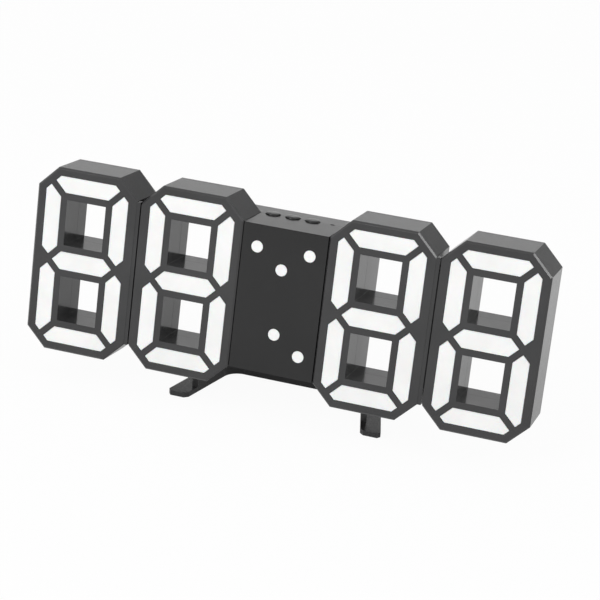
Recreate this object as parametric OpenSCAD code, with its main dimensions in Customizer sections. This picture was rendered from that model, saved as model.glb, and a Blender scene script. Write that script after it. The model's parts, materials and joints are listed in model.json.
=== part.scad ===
// Desk clock with four see-through seven-segment digits, a centre block and a tilting stand.
// The clock is drawn upright, front face at y = 0 and middle height at z = 0, and then leans back.

/* [Digits] */
// Width of one digit
digit_w = 48; // [46:0.5:60]
// Height of one digit
digit_h = 85; // [80:0.5:110]
// Depth of one digit
digit_d = 24; // [23:0.5:30]
// Size of the cut corners of a digit
digit_chamfer = 9.2; // [7:0.1:11]
// Bevel of a digit's front edges
edge_bevel = 0.8; // [0.4:0.1:1.2]
// Slot between the two digits of a pair
digit_gap = 2.3; // [1.5:0.1:6]
// Wall thickness of the shells
wall = 1.8; // [1.4:0.1:2]
// Thickness of the front faces
face_t = 2; // [1.2:0.1:3]
// Thickness of a digit's rear cover
cover_t = 2.2; // [2:0.1:3]

/* [Segments] */
// Black border beside the upright segments
border_side = 4; // [3.4:0.1:5]
// Black border at the top, the bottom and the cut corners
border_end = 3.7; // [3.4:0.1:5]
// Width of the upright and end segments
stroke = 7.6; // [6:0.1:8.5]
// Width of the middle segment
mid_stroke = 8.5; // [7:0.1:10]
// Width of the slanted bars between the segments
spoke = 2.8; // [2:0.1:3.4]
// Black rim between the segments and a window
window_rim = 3; // [2.6:0.1:4]
// Wall of the window tubes
tube_wall = 1.2; // [0.8:0.1:1.6]
// Depth of the front part of a window tube
window_seam = 14.4; // [13.5:0.1:18]
// Set-back of the lit segments from the face
segment_recess = 0.15; // [0.05:0.05:0.6]

/* [Inside a digit] */
// Thickness of the diffuser plate
diffuser_t = 1.2; // [0.8:0.1:1.6]
// Depth of the light baffle
baffle_d = 8; // [6:0.1:8.5]
// Thickness of the circuit boards
board_t = 1.6; // [1:0.1:1.8]
// Distance between neighbouring light chips
led_pitch = 7; // [5:0.1:7.4]
// Width of a light chip
led_w = 3.5; // [2:0.1:4.5]
// Height of a light chip
led_h = 2.8; // [1.6:0.1:3.2]
// Thickness of a light chip
led_t = 0.9; // [0.5:0.1:1.5]
// Radius of the screw bosses in a digit
boss_r = 2.5; // [2.2:0.1:2.8]
// Width of a ribbon between two boards
ribbon_w = 10; // [6:0.5:12]
// Thickness of a ribbon
ribbon_t = 0.8; // [0.4:0.1:1.2]
// Length of a ribbon on each board
ribbon_reach = 8; // [6:0.5:9]
// Height of the ribbons, below the middle
ribbon_drop = 16; // [13:0.5:18]

/* [Centre block] */
// Width of the centre block
centre_w = 39.6; // [38:0.2:50]
// Depth of the centre block
centre_d = 37; // [36:0.5:44]
// Set-back of the centre panel from the digits' faces
panel_recess = 0.5; // [0:0.1:1]
// Radius of the indicator dots
dot_r = 2.68; // [2:0.02:3]
// Radius of the three buttons
button_r = 3.4; // [2.6:0.1:3.8]
// Distance between neighbouring buttons
button_pitch = 9.3; // [9.2:0.1:10]
// Height of a button above the block
button_h = 0.8; // [0.7:0.1:2.5]
// Travel of a button
button_travel = 0.5; // [0.3:0.05:0.6]
// Radius of the light sensor's hole
sensor_hole_r = 1; // [0.6:0.1:1.4]
// Radius of the coin cell
cell_r = 10; // [8:0.1:10.2]
// Thickness of the coin cell
cell_t = 3.2; // [2.5:0.1:3.4]
// Radius of the battery cover
cover_r = 11.8; // [11.4:0.1:12]
// Height of the battery cover's centre above the middle
cell_z = 5; // [4:0.1:6]
// Radius of the round end of a hanging hole
hang_r = 3.5; // [3:0.1:4]
// Distance between the two hanging holes
hang_span = 24; // [20:0.5:26]
// Height of the hanging holes above the middle
hang_z = 22; // [21.5:0.1:23]
// Depth of the power inlet below the middle
inlet_drop = 17; // [16:0.1:19]

/* [Stand] */
// Lean of the clock to the back, in degrees
lean = 10; // [6:0.5:14]
// Height of the digits' lower front edge above the table
stand_lift = 16; // [15:0.1:20]
// Distance of the toes behind the digits' lower front edge
toe_setback = 9.4; // [6:0.1:14]
// Half of the distance between the toes' inner corners
toe_half = 41.5; // [38:0.1:48]
// Angle at which the legs spread, in degrees
splay = 16; // [10:0.5:18]
// Width of a leg
leg_w = 9.2; // [7:0.1:11]
// Thickness of a toe
toe_t = 3; // [2.4:0.1:4]
// Distance from the toes' front to the crossbar
leg_l = 34; // [33:0.1:40]
// Depth of the crossbar
bar_d = 8; // [7:0.1:12]
// Height of the upright rib along the stand's inner edge
rib_h = 8; // [5:0.1:9]
// Thickness of that rib
rib_t = 2.6; // [2:0.1:3.2]
// Length of a toe in front of the rib
toe_l = 8; // [5:0.1:12]
// Radius of the fillets between legs and crossbar
bar_fillet = 8; // [4:0.1:10]
// Size of the toes' cut corners
toe_corner = 1.6; // [0.6:0.1:2.4]
// Height of the rubber pads below the stand
pad_h = 0.5; // [0.3:0.1:1]
// Radius of the rubber pads
pad_r = 2.4; // [1.6:0.1:2.8]

/* [Hinge] */
// Radius of the hinge pin
pin_r = 1.5; // [1:0.1:1.8]
// Distance of the hinge behind the centre block
hinge_back = 1.9; // [1.4:0.1:4]
// Distance of the hinge below the centre block
hinge_drop = 4.7; // [4.4:0.1:6]
// Radius of the hinge barrel
barrel_r = 3.1; // [2.7:0.1:3.4]
// Half length of the hinge barrel
barrel_half = 13.7; // [10:0.1:14]
// Thickness of a stand ear
ear_t = 4.4; // [3:0.1:5]
// Radius of a stand ear
ear_r = 3.5; // [3:0.1:3.8]

/* [Hidden] */
$fn = 48;

// Clearances
part_gap = 0.3;
segment_gap = 0.12;
lip_gap = 0.15;
seam_gap = 0.35;
slide_gap = 0.2;
lens_gap = 0.1;
pin_gap = 0.05;
fit_gap = 0.02;
ribbon_gap = 0.4;
// Length by which a cut runs past a face
over = 1;

// Segment layout, measured from a digit's centre
diag = sqrt(2);
seg_u1 = digit_w / 2 - border_side;
seg_u0 = seg_u1 - stroke;
seg_v1 = digit_h / 2 - border_end;
seg_v0 = seg_v1 - stroke;
win_u = seg_u0 - window_rim;
win_v1 = seg_v0 - window_rim;
win_v0 = mid_stroke / 2 + window_rim;
seg_cut = digit_w / 2 + digit_h / 2 - digit_chamfer - border_end * diag;
corner_bar = win_v1 - win_u;
middle_bar = win_u + win_v0;
half_spoke = spoke / diag;

// Layers of a digit, from the front
baffle_y = face_t + diffuser_t;
board_y = baffle_y + baffle_d;
board_back = board_y + board_t;
cover_y = digit_d - cover_t;
lip_d = 3;
lip_t = 1;

// Screws of the rear covers
boss_root = 0.2;
boss_u = digit_w / 2 - wall - boss_r + boss_root;
screw_r = 0.95;
screw_l = 11;
screw_head_r = 2;
screw_head_t = 1.1;
head_inset = 0.1;
screw_seat = digit_d - screw_head_t - head_inset;
pilot_r = screw_r + pin_gap;
pilot_extra = 0.5;
drive_w = 0.5;
drive_share = 1.4;

// Places of the digits
inner_x = centre_w / 2 + digit_w / 2;
outer_x = inner_x + digit_w + digit_gap;
digit_x = [-outer_x, -inner_x, inner_x, outer_x];
has_port = [[false, true], [true, true], [true, true], [true, false]];
port_y = board_back + ribbon_t / 2;
port_d = ribbon_t + 2 * ribbon_gap;
port_h = ribbon_w + 2 * ribbon_gap;

// Rear shell of the block, whose sides carry on the walls of the inner windows
wing_inset = 0.25;
rear_w = 2 * (inner_x - win_u - wing_inset);

// Bridges: a web just behind the faces with a groove on its right, and a neck for the ribbon
bridge_recess = 0.15;
web_inset = 0.2;
web_d = 3;
web_groove = 0.6;
groove_d = 2;
neck_d = 16;
neck_h = 52;

// Centre block
centre_h = digit_h - 2 * digit_chamfer;
shell_w = centre_w - 2 * seam_gap;
inner_w = shell_w - 2 * wall;
inner_h = centre_h - 2 * wall;
panel_back = panel_recess + face_t;
back_y = centre_d - face_t;
colon_x = -0.3;
dots = [[-12.5, 23.1], [11.8, 23], [colon_x, 14.5], [colon_x, -15], [11.8, -22.9]];
lens_flange = 0.9;
lens_flange_r = dot_r + lens_flange;
lens_flange_t = 1.1;
lens_back = panel_back + lens_flange_t;
dot_tube_wall = 1.4;
dot_tube_r = dot_r + dot_tube_wall;
dot_web_t = 1.2;

// Posts and screws that close the centre block
post_side = 2;
post_r = 2.2;
post_x = inner_w / 2 - post_side;
post_root = 0.4;
post_z = [12, -inner_h / 2 + post_r - post_root];
post_base_r = 3;
long_screw_r = 1.1;
long_pilot_r = long_screw_r + pin_gap;
long_screw_l = 26;
long_head_r = 1.9;
long_head_t = 1.4;
long_head_inset = 0.2;
long_seat = centre_d - long_head_t - long_head_inset;

// Screws that hold the inner digits against the rear shell
wing_root = 0.2;
wing_x = rear_w / 2 - wall - post_r + wing_root;
wing_z = 20;
wing_boss_l = 6;
wing_grip = 4;
wing_screw_l = long_seat - cover_y + wing_grip;

// Buttons and what lies under them
roof = centre_h / 2 - wall;
button_x = [for (i = [0 : 2]) (i - 1.5) * button_pitch];
flange_reach = 0.9;
flange_r = button_r + flange_reach;
flange_t = 0.9;
flange_gap = 0.1;
stem_r = 1.5;
stem_l = 0.6;
flange_low = roof - flange_gap - flange_t;
stem_end = flange_low - stem_l;
button_edge = 0.4;
button_dome = 0.1;
switch_w = 6;
switch_h = 3.5;
plunger_r = 1.75;
plunger_h = 0.8;
press_gap = 0.1;
switch_top = stem_end - button_travel - press_gap;
button_board_top = switch_top - plunger_h - switch_h;
button_board_d = 12;
button_board_w = inner_w - 2 * part_gap;
ledge_w = 1.6;
ledge_t = 2;
header_w = 12.7;
header_h = 2.5;
header_overlap = 1;
sensor_x = 1.5 * button_pitch;
sensor_r = 1.5;
sensor_gap = 0.5;

// Parts on the main board
chip_w = 10;
chip_t = 1.6;
chip_at = [-6, 3];
crystal_r = 1.5;
crystal_l = 8;
crystal_at = [-6, -8];
buzzer_r = 6;
buzzer_t = 8;
buzzer_hole_r = 1;
buzzer_at = [7, -4];
thermistor_r = 1.2;
thermistor_l = 3;
thermistor_at = [-9, -27];

// Coin cell, its well and its twist cover
well_floor_t = 1.2;
contact_t = 0.4;
contact_w = 6;
contact_l = 1.6 * cell_r;
cover_boss_r = 9.5;
lug_reach = 1.2;
lug_r = cover_r + lug_reach;
lug_w = 5;
lug_t = 1.5;
lug_gap = 0.3;
well_gap = 0.4;
well_r = lug_r + well_gap;
well_wall = 1.5;
lug_back = back_y - lug_gap;
cell_space = 1.4;
cell_back = lug_back - lug_t - cell_space;
cell_front = cell_back - cell_t;
well_y = cell_front - contact_t - well_floor_t;
holder_wall_r = well_r - part_gap;
unlock_turn = 45;
coin_slot_l = 14;
coin_slot_w = 1.8;
coin_slot_d = 1;

// Power inlet
inlet_w = 8.94;
inlet_h = 3.26;
inlet_skin = 0.3;
inlet_l = 7;
inlet_inset = 0.2;
inlet_mouth = centre_d - inlet_inset;
inlet_floor = 1;
tongue_w = 6.6;
tongue_h = 0.7;
tongue_l = 4.6;
power_board_back = inlet_mouth - inlet_l;
power_board_w = 18;
power_board_h = 14;
power_post_r = 1.6;
power_post_edge = 0.3;
power_post_x = power_board_w / 2 - power_post_r - power_post_edge;
power_post_z = power_board_h / 2 - power_post_r - power_post_edge;
jumper_w = 5;
jumper_t = 1;
jumper_edge = 2;
jumper_z = -inlet_drop - power_board_h / 2 + jumper_edge;
hang_slot_r = hang_r / 2;
hang_rise = 5;
vent_w = 1.4;
vent_l = 10;
vent_pitch = 2.6;
vent_rise = 3.5;
vent_z = hang_z + vent_rise;

// Where the leaning clock stands, with the origin under the middle of the whole
edge_back = digit_h / 2 * sin(lean);
stand_l = leg_l + bar_d;
reach_front = edge_bevel * sin(lean) - edge_back;
reach_bar = -edge_back + toe_setback + stand_l;
reach_block = centre_d * cos(lean) + centre_h / 2 * sin(lean);
reach_back = max(reach_bar, reach_block);
clock_y = -(reach_front + reach_back) / 2;
clock_z = stand_lift + digit_h / 2 * cos(lean);
toe_y = clock_y - edge_back + toe_setback;
hinge_y = centre_d + hinge_back;
hinge_z = -centre_h / 2 - hinge_drop;
hinge_s = clock_y + hinge_y * cos(lean) + hinge_z * sin(lean) - toe_y;
hinge_h = clock_z - hinge_y * sin(lean) + hinge_z * cos(lean);
gusset_l = 8;
gusset_wide = 0.8;
gusset_thin = 0.6;

// Stand outline: x across, second value backwards from the toes' front
leg_across = leg_w / cos(splay);
ear_x = barrel_half + part_gap;
pin_half = ear_x + ear_t;
pad_seat = 0.6;
pad_t = pad_h + pad_seat;
pad_toe_s = 5;
pad_bar_s = leg_l + bar_d / 2;
fillet_over = 0.02;

function leg_in(s) = toe_half - s * tan(splay);
function leg_out(s) = leg_in(s) + leg_across;

// Outlines of the lit segments, each drawn in by the gap g
function end_segment(g) =
  let (v1 = seg_v1 - g, v0 = seg_v0 + g, cut = seg_cut - g * diag,
       bar = corner_bar + half_spoke + g * diag)
  [[v1 - cut, v1], [cut - v1, v1], [(cut - bar) / 2, (cut + bar) / 2],
   [v0 - bar, v0], [bar - v0, v0], [(bar - cut) / 2, (cut + bar) / 2]];

function side_segment(g) =
  let (u1 = seg_u1 - g, u0 = seg_u0 + g, cut = seg_cut - g * diag,
       bar = corner_bar - half_spoke - g * diag,
       low = middle_bar + half_spoke + g * diag,
       wedge = middle_bar - half_spoke - g * diag)
  [[(cut - bar) / 2, (cut + bar) / 2], [u1, cut - u1], [u1, u1 - wedge],
   [(low + wedge) / 2, (low - wedge) / 2], [u0, low - u0], [u0, u0 + bar]];

function middle_segment(g) =
  let (v = mid_stroke / 2 - g, end = middle_bar - half_spoke - g * diag)
  [[end - v, v], [end, 0], [end - v, -v], [v - end, -v], [-end, 0], [v - end, v]];

module segments(g) {
  for (m = [0, 1]) {
    mirror([0, m]) {
      polygon(end_segment(g));
      polygon(side_segment(g));
      mirror([1, 0]) polygon(side_segment(g));
    }
  }
  polygon(middle_segment(g));
}

module windows(grow) {
  for (m = [0, 1]) {
    mirror([0, m]) translate([-win_u - grow, win_v0 - grow])
      square([2 * (win_u + grow), win_v1 - win_v0 + 2 * grow]);
  }
}

module octagon(inset) {
  w = digit_w / 2 - inset;
  h = digit_h / 2 - inset;
  c = digit_chamfer - inset * (2 - diag);
  polygon([[w, h - c], [w - c, h], [c - w, h], [-w, h - c],
           [-w, c - h], [c - w, -h], [w - c, -h], [w, c - h]]);
}

module bosses(r) {
  for (s = [-1, 1]) translate([s * boss_u, 0]) circle(r);
}

module stadium(w, h) {
  square([w - h, h], center = true);
  for (s = [-1, 1]) translate([s * (w - h) / 2, 0]) circle(h / 2);
}

// Outline shared by the plates stacked inside a digit
module inner_plate() {
  difference() {
    octagon(wall + part_gap);
    windows(tube_wall + part_gap);
    bosses(boss_r + part_gap);
  }
}

// Extrudes a front-view outline between two depths
module slab(y0, y1) {
  translate([0, y1, 0]) rotate([90, 0, 0]) linear_extrude(y1 - y0) children();
}

// Extrudes a side-view outline between two places across the width
module side_slab(x0, x1) {
  translate([x0, 0, 0]) rotate([90, 0, 90]) linear_extrude(x1 - x0) children();
}

// Leans the clock back and lifts it onto its stand
module on_clock() {
  translate([0, clock_y, clock_z]) rotate([-lean, 0, 0]) children();
}

module at_digit(i) {
  on_clock() translate([digit_x[i], 0, 0]) children();
}

// Opening in the side walls for a ribbon
module ribbon_port(x, depth) {
  translate([x, port_y, -ribbon_drop]) cube([depth, port_d, port_h], center = true);
}

// Tool that bevels one front edge: direction of the side and its distance from the digit's middle
module bevel_tool(angle, reach) {
  rotate([0, -angle, 0]) translate([reach - edge_bevel, 0, 0]) rotate([0, 0, 45])
    translate([-edge_bevel, -2 * edge_bevel, -digit_h / 2])
      cube([4 * edge_bevel, 2 * edge_bevel, digit_h]);
}

// Bevels all front edges but the one at the bridge
module front_bevels(i) {
  corner_reach = ((digit_w + digit_h) / 2 - digit_chamfer) / sqrt(2);
  bevel_tool(i % 2 == 0 ? 180 : 0, digit_w / 2);
  for (angle = [90, 270]) bevel_tool(angle, digit_h / 2);
  for (angle = [45:90:315]) bevel_tool(angle, corner_reach);
}

module front_frame(i) {
  color("#2b2b2d") at_digit(i) difference() {
    union() {
      slab(0, face_t) difference() {
        octagon(0);
        segments(0);
        windows(0);
      }
      slab(0, cover_y) difference() {
        octagon(0);
        octagon(wall);
      }
      slab(0, window_seam) difference() {
        windows(tube_wall);
        windows(0);
      }
      slab(face_t / 2, cover_y) bosses(boss_r);
    }
    front_bevels(i);
    slab(screw_seat - screw_l - pilot_extra, cover_y + over) bosses(pilot_r);
    for (s = [0, 1]) {
      if (has_port[i][s]) ribbon_port((2 * s - 1) * (digit_w - wall) / 2, 2 * wall);
    }
  }
}

module diffuser(i) {
  color("#f4f4f2") at_digit(i) {
    slab(face_t, baffle_y) inner_plate();
    slab(segment_recess, face_t + diffuser_t / 2) segments(segment_gap);
  }
}

module light_baffle(i) {
  color("#e6e6e2") at_digit(i) slab(baffle_y, board_y) difference() {
    inner_plate();
    segments(0);
  }
}

module led_board(i) {
  color("#1f6b3a") at_digit(i) slab(board_y, board_back) inner_plate();
}

module leds(i) {
  end_v = (seg_v0 + seg_v1) / 2;
  side_u = (seg_u0 + seg_u1) / 2;
  side_v = (win_v0 + win_v1) / 2;
  color("#fff3b0") at_digit(i) slab(board_y - led_t, board_y) {
    for (k = [-1 : 1]) {
      for (v = [-end_v, 0, end_v])
        translate([k * led_pitch, v]) square([led_w, led_h], center = true);
      for (u = [-side_u, side_u], v = [-side_v, side_v])
        translate([u, v + k * led_pitch]) square([led_h, led_w], center = true);
    }
  }
}

// Places of the screws behind an inner digit, seen from that digit
module at_wing(i) {
  side = i == 1 ? 1 : -1;
  for (t = [-1, 1]) translate([side * (inner_x - wing_x), t * wing_z]) children();
}

module rear_cover(i) {
  inner = i == 1 || i == 2;
  color("#333335") at_digit(i) difference() {
    union() {
      slab(cover_y, digit_d) difference() {
        octagon(0);
        windows(0);
      }
      slab(window_seam, digit_d) difference() {
        windows(tube_wall);
        windows(0);
      }
      slab(cover_y - lip_d, cover_y + cover_t / 2) difference() {
        octagon(wall + lip_gap);
        octagon(wall + lip_gap + lip_t);
      }
      if (inner) slab(cover_y - wing_boss_l, cover_y + cover_t / 2) at_wing(i) circle(post_r);
    }
    if (inner) slab(cover_y - wing_grip - pilot_extra, digit_d + over) at_wing(i) circle(long_pilot_r);
    slab(cover_y - lip_d - over, cover_y) bosses(boss_r + part_gap);
    slab(cover_y - over, digit_d + over) bosses(screw_r + slide_gap);
    slab(screw_seat, digit_d + over) bosses(screw_head_r + slide_gap);
  }
}

// Screw along y with its head's outer face at the seat's back and a cross recess
module screw(r, len, head_r, head_t, seat) {
  difference() {
    union() {
      slab(seat - len, seat + head_t / 2) circle(r);
      slab(seat, seat + head_t) circle(head_r);
    }
    slab(seat + head_t / 2, seat + head_t + over) {
      square([drive_share * head_r, drive_w], center = true);
      square([drive_w, drive_share * head_r], center = true);
    }
  }
}

module cover_screws() {
  color("#8c8c90") for (i = [0 : 3], s = [-1, 1])
    at_digit(i) translate([s * boss_u, 0, 0])
      screw(screw_r, screw_l, screw_head_r, screw_head_t, screw_seat);
}

// Spacer that closes the slot between two digits and carries their ribbon
module bridge(side) {
  x = side * (inner_x + outer_x) / 2;
  web_h = centre_h - 2 * web_inset;
  color("#242426") on_clock() difference() {
    translate([x - digit_gap / 2, bridge_recess, 0]) {
      translate([0, 0, -web_h / 2]) cube([digit_gap - web_groove, web_d, web_h]);
      translate([0, groove_d, -neck_h / 2]) cube([digit_gap, neck_d, neck_h]);
    }
    ribbon_port(x, 2 * digit_gap);
  }
}

module left_bridge() {
  bridge(-1);
}

module right_bridge() {
  bridge(1);
}

module ribbon_jumpers() {
  pair_x = (inner_x + outer_x) / 2;
  color("#b9b9b4") on_clock() for (s = [-1, 1]) {
    translate([s * pair_x, port_y, -ribbon_drop])
      cube([2 * ribbon_reach + digit_gap, ribbon_t, ribbon_w], center = true);
    translate([s * centre_w / 2, port_y, -ribbon_drop])
      cube([2 * ribbon_reach, ribbon_t, ribbon_w], center = true);
  }
}

module block_outline() {
  square([shell_w, centre_h], center = true);
}

module block_hollow() {
  square([inner_w, inner_h], center = true);
}

module at_posts() {
  for (s = [-1, 1], z = post_z) translate([s * post_x, z]) children();
}

// Round openings in the roof, on the seam between the two shells
module roof_holes() {
  translate([0, digit_d, roof - over]) linear_extrude(wall + 2 * over) {
    for (x = button_x) translate([x, 0]) circle(button_r + slide_gap);
    translate([sensor_x, 0]) circle(sensor_hole_r);
  }
}

module centre_front() {
  color("#232325") on_clock() difference() {
    union() {
      slab(panel_recess, panel_back) difference() {
        block_outline();
        for (d = dots) translate(d) circle(dot_r + lens_gap);
      }
      slab(panel_recess, digit_d) difference() {
        block_outline();
        block_hollow();
      }
      slab(panel_back - face_t / 2, board_y) at_posts() circle(post_base_r);
      slab(panel_back - face_t / 2, digit_d) at_posts() circle(post_r);
    }
    slab(long_seat - long_screw_l - pilot_extra, digit_d + over) at_posts() circle(long_pilot_r);
    roof_holes();
    for (s = [-1, 1]) ribbon_port(s * (shell_w - wall) / 2, 2 * wall);
  }
}

module keyhole() {
  circle(hang_r);
  translate([-hang_slot_r, 0]) square([2 * hang_slot_r, hang_rise]);
  translate([0, hang_rise]) circle(hang_slot_r);
}

// Bar with two lugs that the battery cover turns under the wall
module lug_bar(length, width) {
  intersection() {
    square([2 * length, width], center = true);
    circle(length);
  }
}

// Places of all screws in the rear shell
module at_rear_screws() {
  at_posts() children();
  for (s = [-1, 1], t = [-1, 1]) translate([s * wing_x, t * wing_z]) children();
}

// Rear shell, which also closes the space behind the inner sides of the inner digits
module centre_rear() {
  color("#2a2a2c") on_clock() difference() {
    union() {
      slab(digit_d, centre_d) difference() {
        square([rear_w, centre_h], center = true);
        square([rear_w - 2 * wall, inner_h], center = true);
      }
      slab(back_y, centre_d) square([rear_w, centre_h], center = true);
      slab(digit_d, centre_d) at_rear_screws() circle(post_r);
      slab(well_y, centre_d) translate([0, cell_z]) circle(well_r + well_wall);
      slab(power_board_back, centre_d) for (s = [-1, 1], t = [-1, 1])
        translate([s * power_post_x, t * power_post_z - inlet_drop]) circle(power_post_r);
      button_ledges();
      hinge_barrel();
    }
    slab(well_y + well_floor_t, back_y) translate([0, cell_z]) circle(well_r);
    slab(back_y - over, centre_d + over) translate([0, cell_z]) {
      circle(cover_r + part_gap);
      rotate(-unlock_turn) lug_bar(lug_r + part_gap, lug_w + 2 * part_gap);
    }
    slab(back_y - over, centre_d + over) {
      for (s = [-1, 1]) translate([s * hang_span / 2, hang_z]) keyhole();
      translate([0, -inlet_drop]) stadium(inlet_w + 2 * slide_gap, inlet_h + 2 * slide_gap);
      for (k = [-1 : 1]) translate([0, vent_z + k * vent_pitch]) stadium(vent_l, vent_w);
    }
    slab(digit_d - over, centre_d + over) at_rear_screws() circle(long_screw_r + slide_gap);
    slab(long_seat, centre_d + over) at_rear_screws() circle(long_head_r + slide_gap);
    roof_holes();
    translate([0, hinge_y, hinge_z]) rotate([0, 90, 0])
      cylinder(r = pin_r + pin_gap, h = 2 * (barrel_half + over), center = true);
  }
}

// Shelves on the rear wall that carry the button board's ends
module button_ledges() {
  z = button_board_top - board_t - ledge_t / 2;
  for (s = [-1, 1]) translate([s * (button_board_w - ledge_w) / 2, (digit_d + centre_d) / 2, z])
    cube([ledge_w, centre_d - digit_d, ledge_t], center = true);
}

// Barrel under the rear edge of the block, with the gusset that carries it
module hinge_barrel() {
  low = -centre_h / 2 + wall / 2;
  side_slab(-barrel_half, barrel_half) {
    translate([hinge_y, hinge_z]) circle(barrel_r);
    polygon([[centre_d - gusset_l, low], [centre_d, low],
             [hinge_y + gusset_wide * barrel_r, hinge_z + gusset_thin * barrel_r], [hinge_y, hinge_z],
             [hinge_y - gusset_thin * barrel_r, hinge_z - gusset_wide * barrel_r]]);
  }
}

module housing_screws() {
  color("#8c8c90") on_clock() for (s = [-1, 1], z = post_z) translate([s * post_x, 0, z])
    screw(long_screw_r, long_screw_l, long_head_r, long_head_t, long_seat);
}

module wing_screws() {
  color("#8c8c90") on_clock() for (s = [-1, 1], t = [-1, 1]) translate([s * wing_x, 0, t * wing_z])
    screw(long_screw_r, wing_screw_l, long_head_r, long_head_t, long_seat);
}

module dot_lenses() {
  color("#f6f6f4") on_clock() for (d = dots) {
    slab(panel_recess, panel_back + lens_flange_t / 2) translate(d) circle(dot_r);
    slab(panel_back, lens_back) translate(d) circle(lens_flange_r);
  }
}

// Light tubes behind the dots, joined by a web that lies on the board
module dot_baffle() {
  color("#e6e6e2") on_clock() difference() {
    union() {
      slab(lens_back, board_y) for (d = dots) translate(d) circle(dot_tube_r);
      slab(board_y - dot_web_t, board_y) difference() {
        square([inner_w - 2 * part_gap, dots[0][1] - dots[4][1] + 2 * dot_tube_r], center = true);
        at_posts() circle(post_base_r + part_gap);
      }
    }
    slab(lens_back - over, board_y + over) for (d = dots) translate(d) circle(dot_r);
  }
}

module dot_leds() {
  color("#fff3b0") on_clock() slab(board_y - led_t, board_y)
    for (d = dots) translate(d) square([led_w, led_h], center = true);
}

module main_board() {
  color("#1f6b3a") on_clock() slab(board_y, board_back) difference() {
    square([inner_w - 2 * part_gap, inner_h - 2 * part_gap], center = true);
    at_posts() circle(post_r + part_gap);
    for (s = [-1, 1]) translate([s * inner_w / 2, -inner_h / 2])
      square(inner_w - 2 * post_x, center = true);
  }
}

module clock_chip() {
  color("#1b1b1c") on_clock() slab(board_back, board_back + chip_t) translate(chip_at)
    square(chip_w, center = true);
}

module crystal() {
  color("#c9c9cc") on_clock() translate([crystal_at[0], board_back + crystal_r, crystal_at[1]])
    cylinder(r = crystal_r, h = crystal_l, center = true);
}

module buzzer() {
  color("#202022") on_clock() slab(board_back, board_back + buzzer_t)
    translate(buzzer_at) difference() {
      circle(buzzer_r);
      circle(buzzer_hole_r);
    }
}

module temperature_sensor() {
  color("#3a2f28") on_clock()
    translate([thermistor_at[0], board_back, thermistor_at[1]]) rotate([-90, 0, 0]) {
      cylinder(r = thermistor_r, h = thermistor_l);
      translate([0, 0, thermistor_l]) sphere(thermistor_r);
    }
}

module button_board() {
  color("#1f6b3a") on_clock() translate([0, digit_d, button_board_top - board_t / 2])
    cube([button_board_w, button_board_d, board_t], center = true);
}

// Pin block between the main board and the button board's front edge
module board_header() {
  reach = digit_d - button_board_d / 2 + header_overlap - board_back;
  color("#1b1b1c") on_clock()
    translate([0, board_back + reach / 2, button_board_top - board_t - header_h / 2])
      cube([header_w, reach, header_h], center = true);
}

module tact_switches() {
  color("#47474a") on_clock() for (x = button_x) translate([x, digit_d, button_board_top]) {
    translate([0, 0, switch_h / 2]) cube([switch_w, switch_w, switch_h], center = true);
    cylinder(r = plunger_r, h = switch_h + plunger_h);
  }
}

module light_sensor() {
  tall = roof - sensor_gap - sensor_r - button_board_top;
  color("#cfd8dc") on_clock() translate([sensor_x, digit_d, button_board_top]) {
    cylinder(r = sensor_r, h = tall);
    translate([0, 0, tall]) sphere(sensor_r);
  }
}

// Round cap with a stem over its switch and a bar under the roof that holds it in
module button(x) {
  top = centre_h / 2 + button_h;
  color("#2f2f31") on_clock() translate([x, digit_d, 0]) {
    rotate_extrude() polygon([
      [0, stem_end], [stem_r, stem_end], [stem_r, flange_low], [button_r, flange_low],
      [button_r, top - button_edge], [button_r - button_edge, top - button_dome],
      [button_r / 2, top], [0, top]]);
    translate([0, 0, flange_low + flange_t / 2]) cube([button_r, 2 * flange_r, flange_t], center = true);
  }
}

module set_button() {
  button(button_x[0]);
}

module up_button() {
  button(button_x[1]);
}

module down_button() {
  button(button_x[2]);
}

module power_board() {
  color("#1f6b3a") on_clock() slab(power_board_back - board_t, power_board_back)
    translate([0, -inlet_drop]) square([power_board_w, power_board_h], center = true);
}

module power_jumper() {
  color("#b9b9b4") on_clock() slab(board_back, power_board_back - board_t)
    translate([0, jumper_z]) square([jumper_w, jumper_t], center = true);
}

// Oblong inlet with a contact tongue, facing the back
module usb_socket() {
  color("#c4c4c8") on_clock() translate([0, 0, -inlet_drop]) {
    slab(power_board_back, inlet_mouth) difference() {
      stadium(inlet_w, inlet_h);
      stadium(inlet_w - 2 * inlet_skin, inlet_h - 2 * inlet_skin);
    }
    slab(power_board_back, power_board_back + inlet_floor) stadium(inlet_w, inlet_h);
    slab(power_board_back, power_board_back + inlet_floor + tongue_l)
      square([tongue_w, tongue_h], center = true);
  }
}

module cell_holder() {
  color("#1d1d1f") on_clock() slab(cell_front - contact_t, cell_back)
    translate([0, cell_z]) difference() {
      circle(holder_wall_r);
      circle(cell_r + part_gap);
    }
}

module cell_contact() {
  color("#d8c98a") on_clock() slab(cell_front - contact_t, cell_front) translate([0, cell_z])
    square([contact_l, contact_w], center = true);
}

module coin_cell() {
  color("#cfcfd3") on_clock() slab(cell_front, cell_back) translate([0, cell_z]) circle(cell_r);
}

// Round cover that turns under the wall on two lugs
module battery_cover() {
  color("#303032") on_clock() translate([0, 0, cell_z]) difference() {
    union() {
      slab(back_y, centre_d) circle(cover_r);
      slab(cell_back + part_gap, back_y + face_t / 2) circle(cover_boss_r);
      slab(lug_back - lug_t, lug_back) lug_bar(lug_r, lug_w);
    }
    slab(centre_d - coin_slot_d, centre_d + over) stadium(coin_slot_l, coin_slot_w);
  }
}

// Outer outline of the stand with cut toe corners; the opening leaves the legs
module flat_outline() {
  polygon([[toe_corner - leg_out(0), 0], [leg_out(0) - toe_corner, 0],
           [leg_out(toe_corner), toe_corner], [leg_out(stand_l), stand_l],
           [-leg_out(stand_l), stand_l], [-leg_out(toe_corner), toe_corner]]);
}

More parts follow.
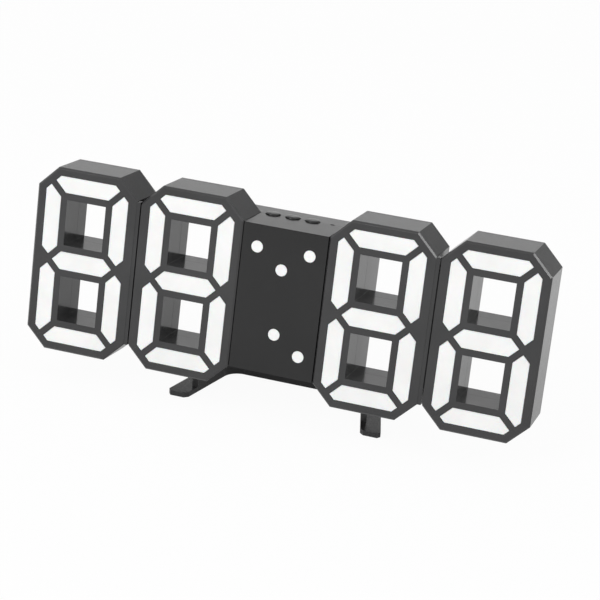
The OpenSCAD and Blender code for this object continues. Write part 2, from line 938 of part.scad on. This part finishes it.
// Outer outline of the upright rib
module rib_outline() {
  across = rib_t / cos(splay);
  end = leg_l + rib_t;
  polygon([[-leg_in(toe_l) - across, toe_l], [leg_in(toe_l) + across, toe_l],
           [leg_in(end) + across, end], [-leg_in(end) - across, end]]);
}

// Space between the legs, with cut corners at the toes and round ones at the crossbar
module opening_outline() {
  s = leg_l - bar_fillet;
  centre = [leg_in(s) - bar_fillet / cos(splay), s];
  touch = centre + bar_fillet * [cos(splay), sin(splay)];
  front = leg_in(0) + toe_corner + over;
  polygon([[-front, -over], [front, -over], [leg_in(toe_corner), toe_corner], touch, centre,
           [centre[0], leg_l], [-centre[0], leg_l], [-centre[0], s], [-touch[0], touch[1]],
           [-leg_in(toe_corner), toe_corner]]);
  for (m = [0, 1]) mirror([m, 0]) translate(centre) circle(bar_fillet + fillet_over);
}

// Upright ear that carries the hinge pin
module ear_outline() {
  difference() {
    union() {
      polygon([[leg_l, pad_h], [stand_l, pad_h], [stand_l, rib_h], [hinge_s + ear_r, hinge_h],
               [hinge_s - ear_r, hinge_h], [leg_l, rib_h]]);
      translate([hinge_s, hinge_h]) circle(ear_r);
    }
    translate([hinge_s, hinge_h]) circle(pin_r + fit_gap);
  }
}

module at_pads() {
  for (s = [-1, 1], p = [pad_toe_s, pad_bar_s])
    translate([s * (leg_in(p) + leg_out(p)) / 2, p]) children();
}

// One-piece stand: spread legs with flat toes, an inner rib, a crossbar and two hinge ears
module stand() {
  color("#262628") translate([0, toe_y, 0]) difference() {
    union() {
      difference() {
        translate([0, 0, pad_h]) {
          linear_extrude(toe_t - pad_h) flat_outline();
          linear_extrude(rib_h - pad_h) rib_outline();
        }
        linear_extrude(rib_h + over) opening_outline();
      }
      for (s = [-1, 1]) side_slab(s > 0 ? ear_x : -pin_half, s > 0 ? pin_half : -ear_x) ear_outline();
    }
    linear_extrude(pad_t) at_pads() circle(pad_r + fit_gap);
  }
}

module hinge_pin() {
  color("#b8b8bc") translate([0, toe_y + hinge_s, hinge_h]) rotate([0, 90, 0])
    cylinder(r = pin_r, h = 2 * pin_half, center = true);
}

module stand_pads() {
  color("#18181a") translate([0, toe_y, 0]) linear_extrude(pad_t) at_pads() circle(pad_r);
}

front_frame(0);  // front_frame_1
front_frame(1);  // front_frame_2
front_frame(2);  // front_frame_3
front_frame(3);  // front_frame_4
diffuser(0);  // diffuser_1
diffuser(1);  // diffuser_2
diffuser(2);  // diffuser_3
diffuser(3);  // diffuser_4
light_baffle(0);  // light_baffle_1
light_baffle(1);  // light_baffle_2
light_baffle(2);  // light_baffle_3
light_baffle(3);  // light_baffle_4
led_board(0);  // led_board_1
led_board(1);  // led_board_2
led_board(2);  // led_board_3
led_board(3);  // led_board_4
leds(0);  // leds_1
leds(1);  // leds_2
leds(2);  // leds_3
leds(3);  // leds_4
rear_cover(0);  // rear_cover_1
rear_cover(1);  // rear_cover_2
rear_cover(2);  // rear_cover_3
rear_cover(3);  // rear_cover_4
cover_screws();
left_bridge();
right_bridge();
ribbon_jumpers();
centre_front();
centre_rear();
housing_screws();
wing_screws();
dot_lenses();
dot_baffle();
dot_leds();
main_board();
clock_chip();
crystal();
buzzer();
temperature_sensor();
button_board();
board_header();
tact_switches();
light_sensor();
set_button();
up_button();
down_button();
power_board();
power_jumper();
usb_socket();
cell_holder();
cell_contact();
coin_cell();
battery_cover();
stand();
hinge_pin();
stand_pads();
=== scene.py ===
"""Looks of the desk clock: softened edges, procedural materials, a white studio and the photo's camera."""
import json
import math

import bpy
from mathutils import Euler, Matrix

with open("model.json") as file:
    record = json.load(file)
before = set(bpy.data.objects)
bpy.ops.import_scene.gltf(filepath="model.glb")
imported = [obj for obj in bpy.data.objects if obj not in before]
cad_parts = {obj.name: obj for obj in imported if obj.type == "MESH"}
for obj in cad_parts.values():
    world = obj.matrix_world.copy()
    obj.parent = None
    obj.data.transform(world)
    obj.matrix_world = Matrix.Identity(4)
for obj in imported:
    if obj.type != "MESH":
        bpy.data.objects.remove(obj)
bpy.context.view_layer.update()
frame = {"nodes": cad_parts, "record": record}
nodes = frame["nodes"]
DIGITS = (1, 2, 3, 4)

# Camera of the photograph, in metres and degrees; lens and sensor in millimetres
CAMERA_AT = (0.240612, -0.779943, 0.423052)
CAMERA_TURN = (65.4965, -3.4792, 18.4241)
CAMERA_LENS = 120.0
CAMERA_SENSOR = 36.0
CAMERA_NEAR = 0.01

# Studio, in metres and watts
FLOOR_SIZE = 6.0
FLOOR_DROP = 0.0002
FLOOR_WHITE = 0.93
FLOOR_GLOW = 0.95
FLOOR_GLOSS = 0.25
SKY_LOW = 0.95
SKY_HIGH = 0.7
LAMP_AIM = (0, 0, 0.05)
KEY_AT = (-0.58, -1.1, 1.0)
KEY_SIZE = 0.9
KEY_POWER = 8.1
RIM_AT = (1.02, -0.31, 0.95)
RIM_SIZE = 0.35
RIM_POWER = 2.0
CARD_AT = 1.2
CARD_WIDTH = 3.0
CARD_HEIGHT = 0.8
CARD_LEFT = 0.88
CARD_RIGHT = 0.45
CARD_FADE = (0.0, 0.16)

# Rounding of edges, in metres and degrees
FRAME_EDGE = 0.0003
COVER_EDGE = 0.0005
DIFFUSER_EDGE = 0.0001
OTHER_EDGES = {
    "centre_front": 0.0003,
    "centre_rear": 0.0004,
    "stand": 0.0006,
    "battery_cover": 0.0003,
    "set_button": 0.0002,
    "up_button": 0.0002,
    "down_button": 0.0002,
    "dot_lenses": 0.0002,
}
EDGE_STEPS = 3
DIFFUSER_STEPS = 2
SHARP_ANGLE = 35.0
FLAT_ANGLE = 0.5
WELD_REACH = 0.000002

# Textures: the part of a noise's range that is used, and how far a black plastic strays from its tone
COLOUR_SPAN = (0.35, 0.65)
ROUGH_SPAN = (0.3, 0.7)
CLOUDINESS = 0.12


def aimed(obj, at):
    """Turns a lamp so that it shines at a point."""
    way = [a - b for a, b in zip(at, obj.location)]
    flat = math.hypot(way[0], way[1])
    obj.rotation_euler = Euler((math.atan2(flat, -way[2]), 0, math.atan2(-way[0], way[1])))


def add_camera():
    data = bpy.data.cameras.new("camera")
    data.lens = CAMERA_LENS
    data.sensor_width = CAMERA_SENSOR
    data.sensor_fit = "HORIZONTAL"
    data.clip_start = CAMERA_NEAR
    cam = bpy.data.objects.new("camera", data)
    cam.location = CAMERA_AT
    cam.rotation_euler = [math.radians(a) for a in CAMERA_TURN]
    bpy.context.scene.collection.objects.link(cam)
    bpy.context.scene.camera = cam


def seen_directly(tree, straight=1.0, gloss=1.0):
    """Shares of the plain background on rays that show it: straight or through glass, and in a gloss."""
    path = tree.nodes.new("ShaderNodeLightPath")
    shares = {"Is Camera Ray": straight, "Is Transmission Ray": straight, "Is Glossy Ray": gloss}
    total = None
    for ray, share in shares.items():
        part = tree.nodes.new("ShaderNodeMath")
        part.operation = "MULTIPLY"
        part.inputs[1].default_value = share
        tree.links.new(path.outputs[ray], part.inputs[0])
        if total is None:
            total = part.outputs[0]
            continue
        larger = tree.nodes.new("ShaderNodeMath")
        larger.operation = "MAXIMUM"
        tree.links.new(total, larger.inputs[0])
        tree.links.new(part.outputs[0], larger.inputs[1])
        total = larger.outputs[0]
    return total


def mapped(tree, value, span, low, high, shape="LINEAR"):
    """Turns a value's span into the range from low to high."""
    node = tree.nodes.new("ShaderNodeMapRange")
    node.interpolation_type = shape
    node.inputs["From Min"].default_value = span[0]
    node.inputs["From Max"].default_value = span[1]
    node.inputs["To Min"].default_value = low
    node.inputs["To Max"].default_value = high
    tree.links.new(value, node.inputs["Value"])
    return node.outputs[0]


def coordinate(tree, kind, axis):
    """One axis of a texture coordinate."""
    place = tree.nodes.new("ShaderNodeTexCoord")
    split = tree.nodes.new("ShaderNodeSeparateXYZ")
    tree.links.new(place.outputs[kind], split.inputs[0])
    return split.outputs[axis]


def add_world():
    """Soft light that is weaker from above, and plain white where the background is seen."""
    world = bpy.data.worlds.new("studio")
    bpy.context.scene.world = world
    world.use_nodes = True
    tree = world.node_tree
    tree.nodes.clear()
    out = tree.nodes.new("ShaderNodeOutputWorld")
    mix = tree.nodes.new("ShaderNodeMixShader")
    light = tree.nodes.new("ShaderNodeBackground")
    white = tree.nodes.new("ShaderNodeBackground")
    white.inputs["Color"].default_value = (1, 1, 1, 1)
    fade = mapped(tree, coordinate(tree, "Generated", "Z"), (0.0, 1.0), SKY_LOW, SKY_HIGH)
    tree.links.new(fade, light.inputs["Strength"])
    tree.links.new(seen_directly(tree), mix.inputs[0])
    tree.links.new(light.outputs[0], mix.inputs[1])
    tree.links.new(white.outputs[0], mix.inputs[2])
    tree.links.new(mix.outputs[0], out.inputs["Surface"])


def bare_material(name):
    """A material with nothing but its output; returns it and the socket for its surface."""
    mat = bpy.data.materials.new(name)
    mat.use_nodes = True
    mat.node_tree.nodes.clear()
    out = mat.node_tree.nodes.new("ShaderNodeOutputMaterial")
    return mat, out.inputs["Surface"]


def add_sheet(name, corners, mat):
    """A flat sheet between four corners."""
    mesh = bpy.data.meshes.new(name)
    mesh.from_pydata(corners, [], [(0, 1, 2, 3)])
    mesh.materials.append(mat)
    sheet = bpy.data.objects.new(name, mesh)
    bpy.context.scene.collection.objects.link(sheet)
    return sheet


def add_floor():
    """White floor that keeps the clock's shadow and is a plain white where it is seen."""
    mat, surface = bare_material("floor")
    tree = mat.node_tree
    mix = tree.nodes.new("ShaderNodeMixShader")
    matte = tree.nodes.new("ShaderNodeBsdfDiffuse")
    matte.inputs["Color"].default_value = (FLOOR_WHITE, FLOOR_WHITE, FLOOR_WHITE, 1)
    glow = tree.nodes.new("ShaderNodeEmission")
    tree.links.new(seen_directly(tree, FLOOR_GLOW, FLOOR_GLOSS), mix.inputs[0])
    tree.links.new(matte.outputs[0], mix.inputs[1])
    tree.links.new(glow.outputs[0], mix.inputs[2])
    tree.links.new(mix.outputs[0], surface)
    h = FLOOR_SIZE / 2
    floor = add_sheet("floor", [(-h, -h, 0), (h, -h, 0), (h, h, 0), (-h, h, 0)], mat)
    floor.location.z = -FLOOR_DROP


def add_card():
    """Grey card behind the clock, out of the picture, that its gloss shows: paler on the left."""
    mat, surface = bare_material("card")
    tree = mat.node_tree
    matte = tree.nodes.new("ShaderNodeBsdfDiffuse")
    across = coordinate(tree, "Object", "X")
    fade = mapped(tree, across, CARD_FADE, CARD_LEFT, CARD_RIGHT, "SMOOTHSTEP")
    tree.links.new(fade, matte.inputs["Color"])
    tree.links.new(matte.outputs[0], surface)
    w = CARD_WIDTH / 2
    card = add_sheet("card", [(-w, 0, 0), (w, 0, 0), (w, 0, CARD_HEIGHT), (-w, 0, CARD_HEIGHT)], mat)
    card.location.y = CARD_AT
    card.visible_camera = False


def add_lamp(name, at, size, power):
    data = bpy.data.lights.new(name, "AREA")
    data.shape = "DISK"
    data.size = size
    data.energy = power
    lamp = bpy.data.objects.new(name, data)
    lamp.location = at
    aimed(lamp, LAMP_AIM)
    bpy.context.scene.collection.objects.link(lamp)


class Paint:
    """A material made of a Principled shader with its textures in the piece's own coordinates."""

    def __init__(self, name, **constants):
        self.mat, surface = bare_material(name)
        self.tree = self.mat.node_tree
        self.shader = self.tree.nodes.new("ShaderNodeBsdfPrincipled")
        self.tree.links.new(self.shader.outputs[0], surface)
        self.place = self.tree.nodes.new("ShaderNodeTexCoord").outputs["Object"]
        for key, value in constants.items():
            self.shader.inputs[key.replace("_", " ")].default_value = value

    def stretched(self, scale):
        """Coordinates scaled differently along each axis."""
        node = self.tree.nodes.new("ShaderNodeMapping")
        node.inputs["Scale"].default_value = scale
        self.tree.links.new(self.place, node.inputs["Vector"])
        return node.outputs[0]

    def noise(self, scale, detail=3.0, at=None):
        node = self.tree.nodes.new("ShaderNodeTexNoise")
        node.inputs["Scale"].default_value = scale
        node.inputs["Detail"].default_value = detail
        self.tree.links.new(at or self.place, node.inputs["Vector"])
        return node.outputs[0]

    def waves(self, scale, direction, at=None):
        node = self.tree.nodes.new("ShaderNodeTexWave")
        node.bands_direction = direction
        node.inputs["Scale"].default_value = scale
        self.tree.links.new(at or self.place, node.inputs["Vector"])
        return node.outputs["Fac"]

    def colour(self, value, low, high, span=COLOUR_SPAN):
        """Lets a texture value set the colour between two."""
        node = self.tree.nodes.new("ShaderNodeValToRGB")
        for element, position, tone in zip(node.color_ramp.elements, span, (low, high)):
            element.position = position
            element.color = (*tone, 1)
        self.tree.links.new(value, node.inputs[0])
        self.tree.links.new(node.outputs[0], self.shader.inputs["Base Color"])

    def rough(self, value, low, high):
        """Lets a texture value set the roughness between two."""
        self.tree.links.new(mapped(self.tree, value, ROUGH_SPAN, low, high), self.shader.inputs["Roughness"])

    def bump(self, value, strength, depth):
        """Gives the surface a relief; its depth is in metres."""
        node = self.tree.nodes.new("ShaderNodeBump")
        node.inputs["Strength"].default_value = strength
        node.inputs["Distance"].default_value = depth
        self.tree.links.new(value, node.inputs["Height"])
        self.tree.links.new(node.outputs[0], self.shader.inputs["Normal"])


def black_plastic(name, tone, rough, grain, strength, level=0.5):
    """Moulded black plastic: faint cloudiness, uneven gloss and a fine spark-eroded grain."""
    paint = Paint(name, Specular_IOR_Level=level)
    darker = [(1 - CLOUDINESS) * c for c in tone]
    lighter = [(1 + CLOUDINESS) * c for c in tone]
    paint.colour(paint.noise(scale=45.0, detail=4.0), darker, lighter)
    paint.rough(paint.noise(scale=260.0), *rough)
    paint.bump(paint.noise(grain, detail=2.0), strength, depth=0.00006)
    return paint.mat


def milky_plastic(name, low, high):
    """Milky plastic that lets light a little way in."""
    paint = Paint(name, Subsurface_Weight=0.12, Subsurface_Scale=0.002, Specular_IOR_Level=0.4)
    paint.colour(paint.noise(scale=70.0), low, high)
    paint.rough(paint.noise(scale=300.0, detail=2.0), low=0.42, high=0.52)
    paint.bump(paint.noise(scale=2400.0, detail=2.0), strength=0.12, depth=0.00003)
    return paint.mat


def metal(name, low, high, rough, grain):
    """Metal whose fine lines are drawn out along one axis."""
    paint = Paint(name, Metallic=1.0)
    lines = paint.noise(scale=1.0, at=paint.stretched(grain))
    paint.colour(lines, low, high)
    paint.rough(lines, *rough)
    paint.bump(lines, strength=0.15, depth=0.00002)
    return paint.mat


def circuit_board(name):
    """Green lacquer over raised copper tracks."""
    paint = Paint(name, Specular_IOR_Level=0.5)
    tracks = paint.waves(scale=90.0, direction="DIAGONAL", at=paint.stretched((1.0, 1.0, 0.4)))
    paint.colour(tracks, low=(0.02, 0.13, 0.05), high=(0.05, 0.26, 0.11), span=(0.55, 0.6))
    paint.rough(paint.noise(scale=500.0), low=0.35, high=0.5)
    paint.bump(tracks, strength=0.3, depth=0.00004)
    return paint.mat


def ribbon(name):
    """Grey ribbon cable with a ridge for each wire."""
    paint = Paint(name)
    wires = paint.waves(scale=125.0, direction="Z")
    paint.colour(wires, low=(0.42, 0.42, 0.4), high=(0.6, 0.6, 0.58))
    paint.rough(paint.noise(scale=300.0), low=0.5, high=0.65)
    paint.bump(wires, strength=0.6, depth=0.0002)
    return paint.mat


def grained(name, low, high, rough, grain, strength, **constants):
    """Plastic, rubber or resin with an even grain."""
    paint = Paint(name, **constants)
    paint.colour(paint.noise(scale=120.0, detail=4.0), low, high)
    paint.rough(paint.noise(scale=400.0), *rough)
    paint.bump(paint.noise(grain), strength, depth=0.0001)
    return paint.mat


def soften(name, width, steps=EDGE_STEPS):
    """Rounds the sharp edges of a solid by a little, as a mould does."""
    piece = nodes[name]
    weld = piece.modifiers.new("weld", "WELD")
    weld.merge_threshold = WELD_REACH
    flat = piece.modifiers.new("flat", "DECIMATE")
    flat.decimate_type = "DISSOLVE"
    flat.angle_limit = math.radians(FLAT_ANGLE)
    edge = piece.modifiers.new("edge", "BEVEL")
    edge.width = width
    edge.segments = steps
    edge.limit_method = "ANGLE"
    edge.angle_limit = math.radians(SHARP_ANGLE)
    edge.harden_normals = True


SLOT_PAINT = {
    "frame_black": black_plastic(
        "frame_black", tone=(0.033, 0.033, 0.034), rough=(0.14, 0.17), grain=3000.0, strength=0.04),
    "cover_black": black_plastic(
        "cover_black", tone=(0.029, 0.029, 0.0299), rough=(0.16, 0.19), grain=2600.0, strength=0.05),
    "panel_black": black_plastic(
        "panel_black", tone=(0.01, 0.01, 0.0103), rough=(0.14, 0.17), grain=2600.0, strength=0.04,
        level=0.42),
    # Painted light: this lighter tone, above the other black plastics, stands in for the light that the
    # tilted rear strip catches.
    "housing_black": black_plastic(
        "housing_black", tone=(0.048, 0.048, 0.0494), rough=(0.14, 0.17), grain=1900.0, strength=0.05),
    # Painted shade: this near-black tone stands in for the shade on the buttons' sides in the gaps around
    # them.
    "button_black": black_plastic(
        "button_black", tone=(0.008, 0.008, 0.0083), rough=(0.14, 0.17), grain=3000.0, strength=0.04),
    # Painted shade: this tone, darker than the frame's, stands in for the shade under the clock that falls
    # on the stand's crossbar.
    "stand_black": black_plastic(
        "stand_black", tone=(0.022, 0.022, 0.0227), rough=(0.24, 0.28), grain=2400.0, strength=0.08),
    "diffuser_white": milky_plastic(
        "diffuser_white", low=(0.9, 0.9, 0.89), high=(0.95, 0.95, 0.94)),
    "lens_white": milky_plastic(
        "lens_white", low=(0.92, 0.92, 0.91), high=(0.96, 0.96, 0.95)),
    "baffle_white": grained(
        "baffle_white", low=(0.8, 0.8, 0.78), high=(0.88, 0.88, 0.86),
        rough=(0.5, 0.65), grain=1800.0, strength=0.2),
    "board_green": circuit_board("board_green"),
    "led_yellow": grained(
        "led_yellow", low=(0.86, 0.7, 0.22), high=(0.95, 0.86, 0.5),
        rough=(0.25, 0.4), grain=2500.0, strength=0.2),
    "screw_steel": metal(
        "screw_steel", low=(0.42, 0.42, 0.44), high=(0.58, 0.58, 0.6),
        rough=(0.28, 0.45), grain=(900, 900, 4000)),
    "ribbon_grey": ribbon("ribbon_grey"),
    "chip_black": grained(
        "chip_black", low=(0.02, 0.02, 0.021), high=(0.035, 0.035, 0.036),
        rough=(0.55, 0.7), grain=2200.0, strength=0.35),
    "can_steel": metal(
        "can_steel", low=(0.62, 0.62, 0.64), high=(0.76, 0.76, 0.78),
        rough=(0.2, 0.34), grain=(600, 4000, 600)),
    "sensor_dark": grained(
        "sensor_dark", low=(0.07, 0.045, 0.03), high=(0.12, 0.08, 0.06),
        rough=(0.25, 0.4), grain=2000.0, strength=0.2),
    "switch_grey": grained(
        "switch_grey", low=(0.06, 0.06, 0.065), high=(0.1, 0.1, 0.105),
        rough=(0.5, 0.65), grain=2200.0, strength=0.3),
    "sensor_clear": grained(
        "sensor_clear", low=(0.02, 0.021, 0.023), high=(0.035, 0.036, 0.04),
        rough=(0.35, 0.45), grain=1500.0, strength=0.05, Transmission_Weight=0.3, IOR=1.4),
    "contact_brass": metal(
        "contact_brass", low=(0.66, 0.52, 0.22), high=(0.8, 0.66, 0.34),
        rough=(0.25, 0.4), grain=(4000, 700, 700)),
    "cell_steel": metal(
        "cell_steel", low=(0.66, 0.66, 0.68), high=(0.8, 0.8, 0.82),
        rough=(0.2, 0.32), grain=(700, 4000, 700)),
    "pin_steel": metal(
        "pin_steel", low=(0.5, 0.5, 0.52), high=(0.66, 0.66, 0.68),
        rough=(0.22, 0.36), grain=(300, 4000, 4000)),
    "pad_rubber": grained(
        "pad_rubber", low=(0.018, 0.018, 0.018), high=(0.03, 0.03, 0.03),
        rough=(0.8, 0.92), grain=1500.0, strength=0.5),
}

for part in frame["record"]["subparts"]:
    mesh = nodes[part["node"]].data
    mesh.materials.clear()
    mesh.materials.append(SLOT_PAINT[part["material_slot"]])

for i in DIGITS:
    soften(f"front_frame_{i}", FRAME_EDGE)
    soften(f"rear_cover_{i}", COVER_EDGE)
    soften(f"diffuser_{i}", DIFFUSER_EDGE, DIFFUSER_STEPS)
for name, width in OTHER_EDGES.items():
    soften(name, width)

add_camera()
add_world()
add_floor()
add_card()
add_lamp("key", KEY_AT, KEY_SIZE, KEY_POWER)
add_lamp("rim", RIM_AT, RIM_SIZE, RIM_POWER)
bpy.context.scene.view_settings.view_transform = "Standard"
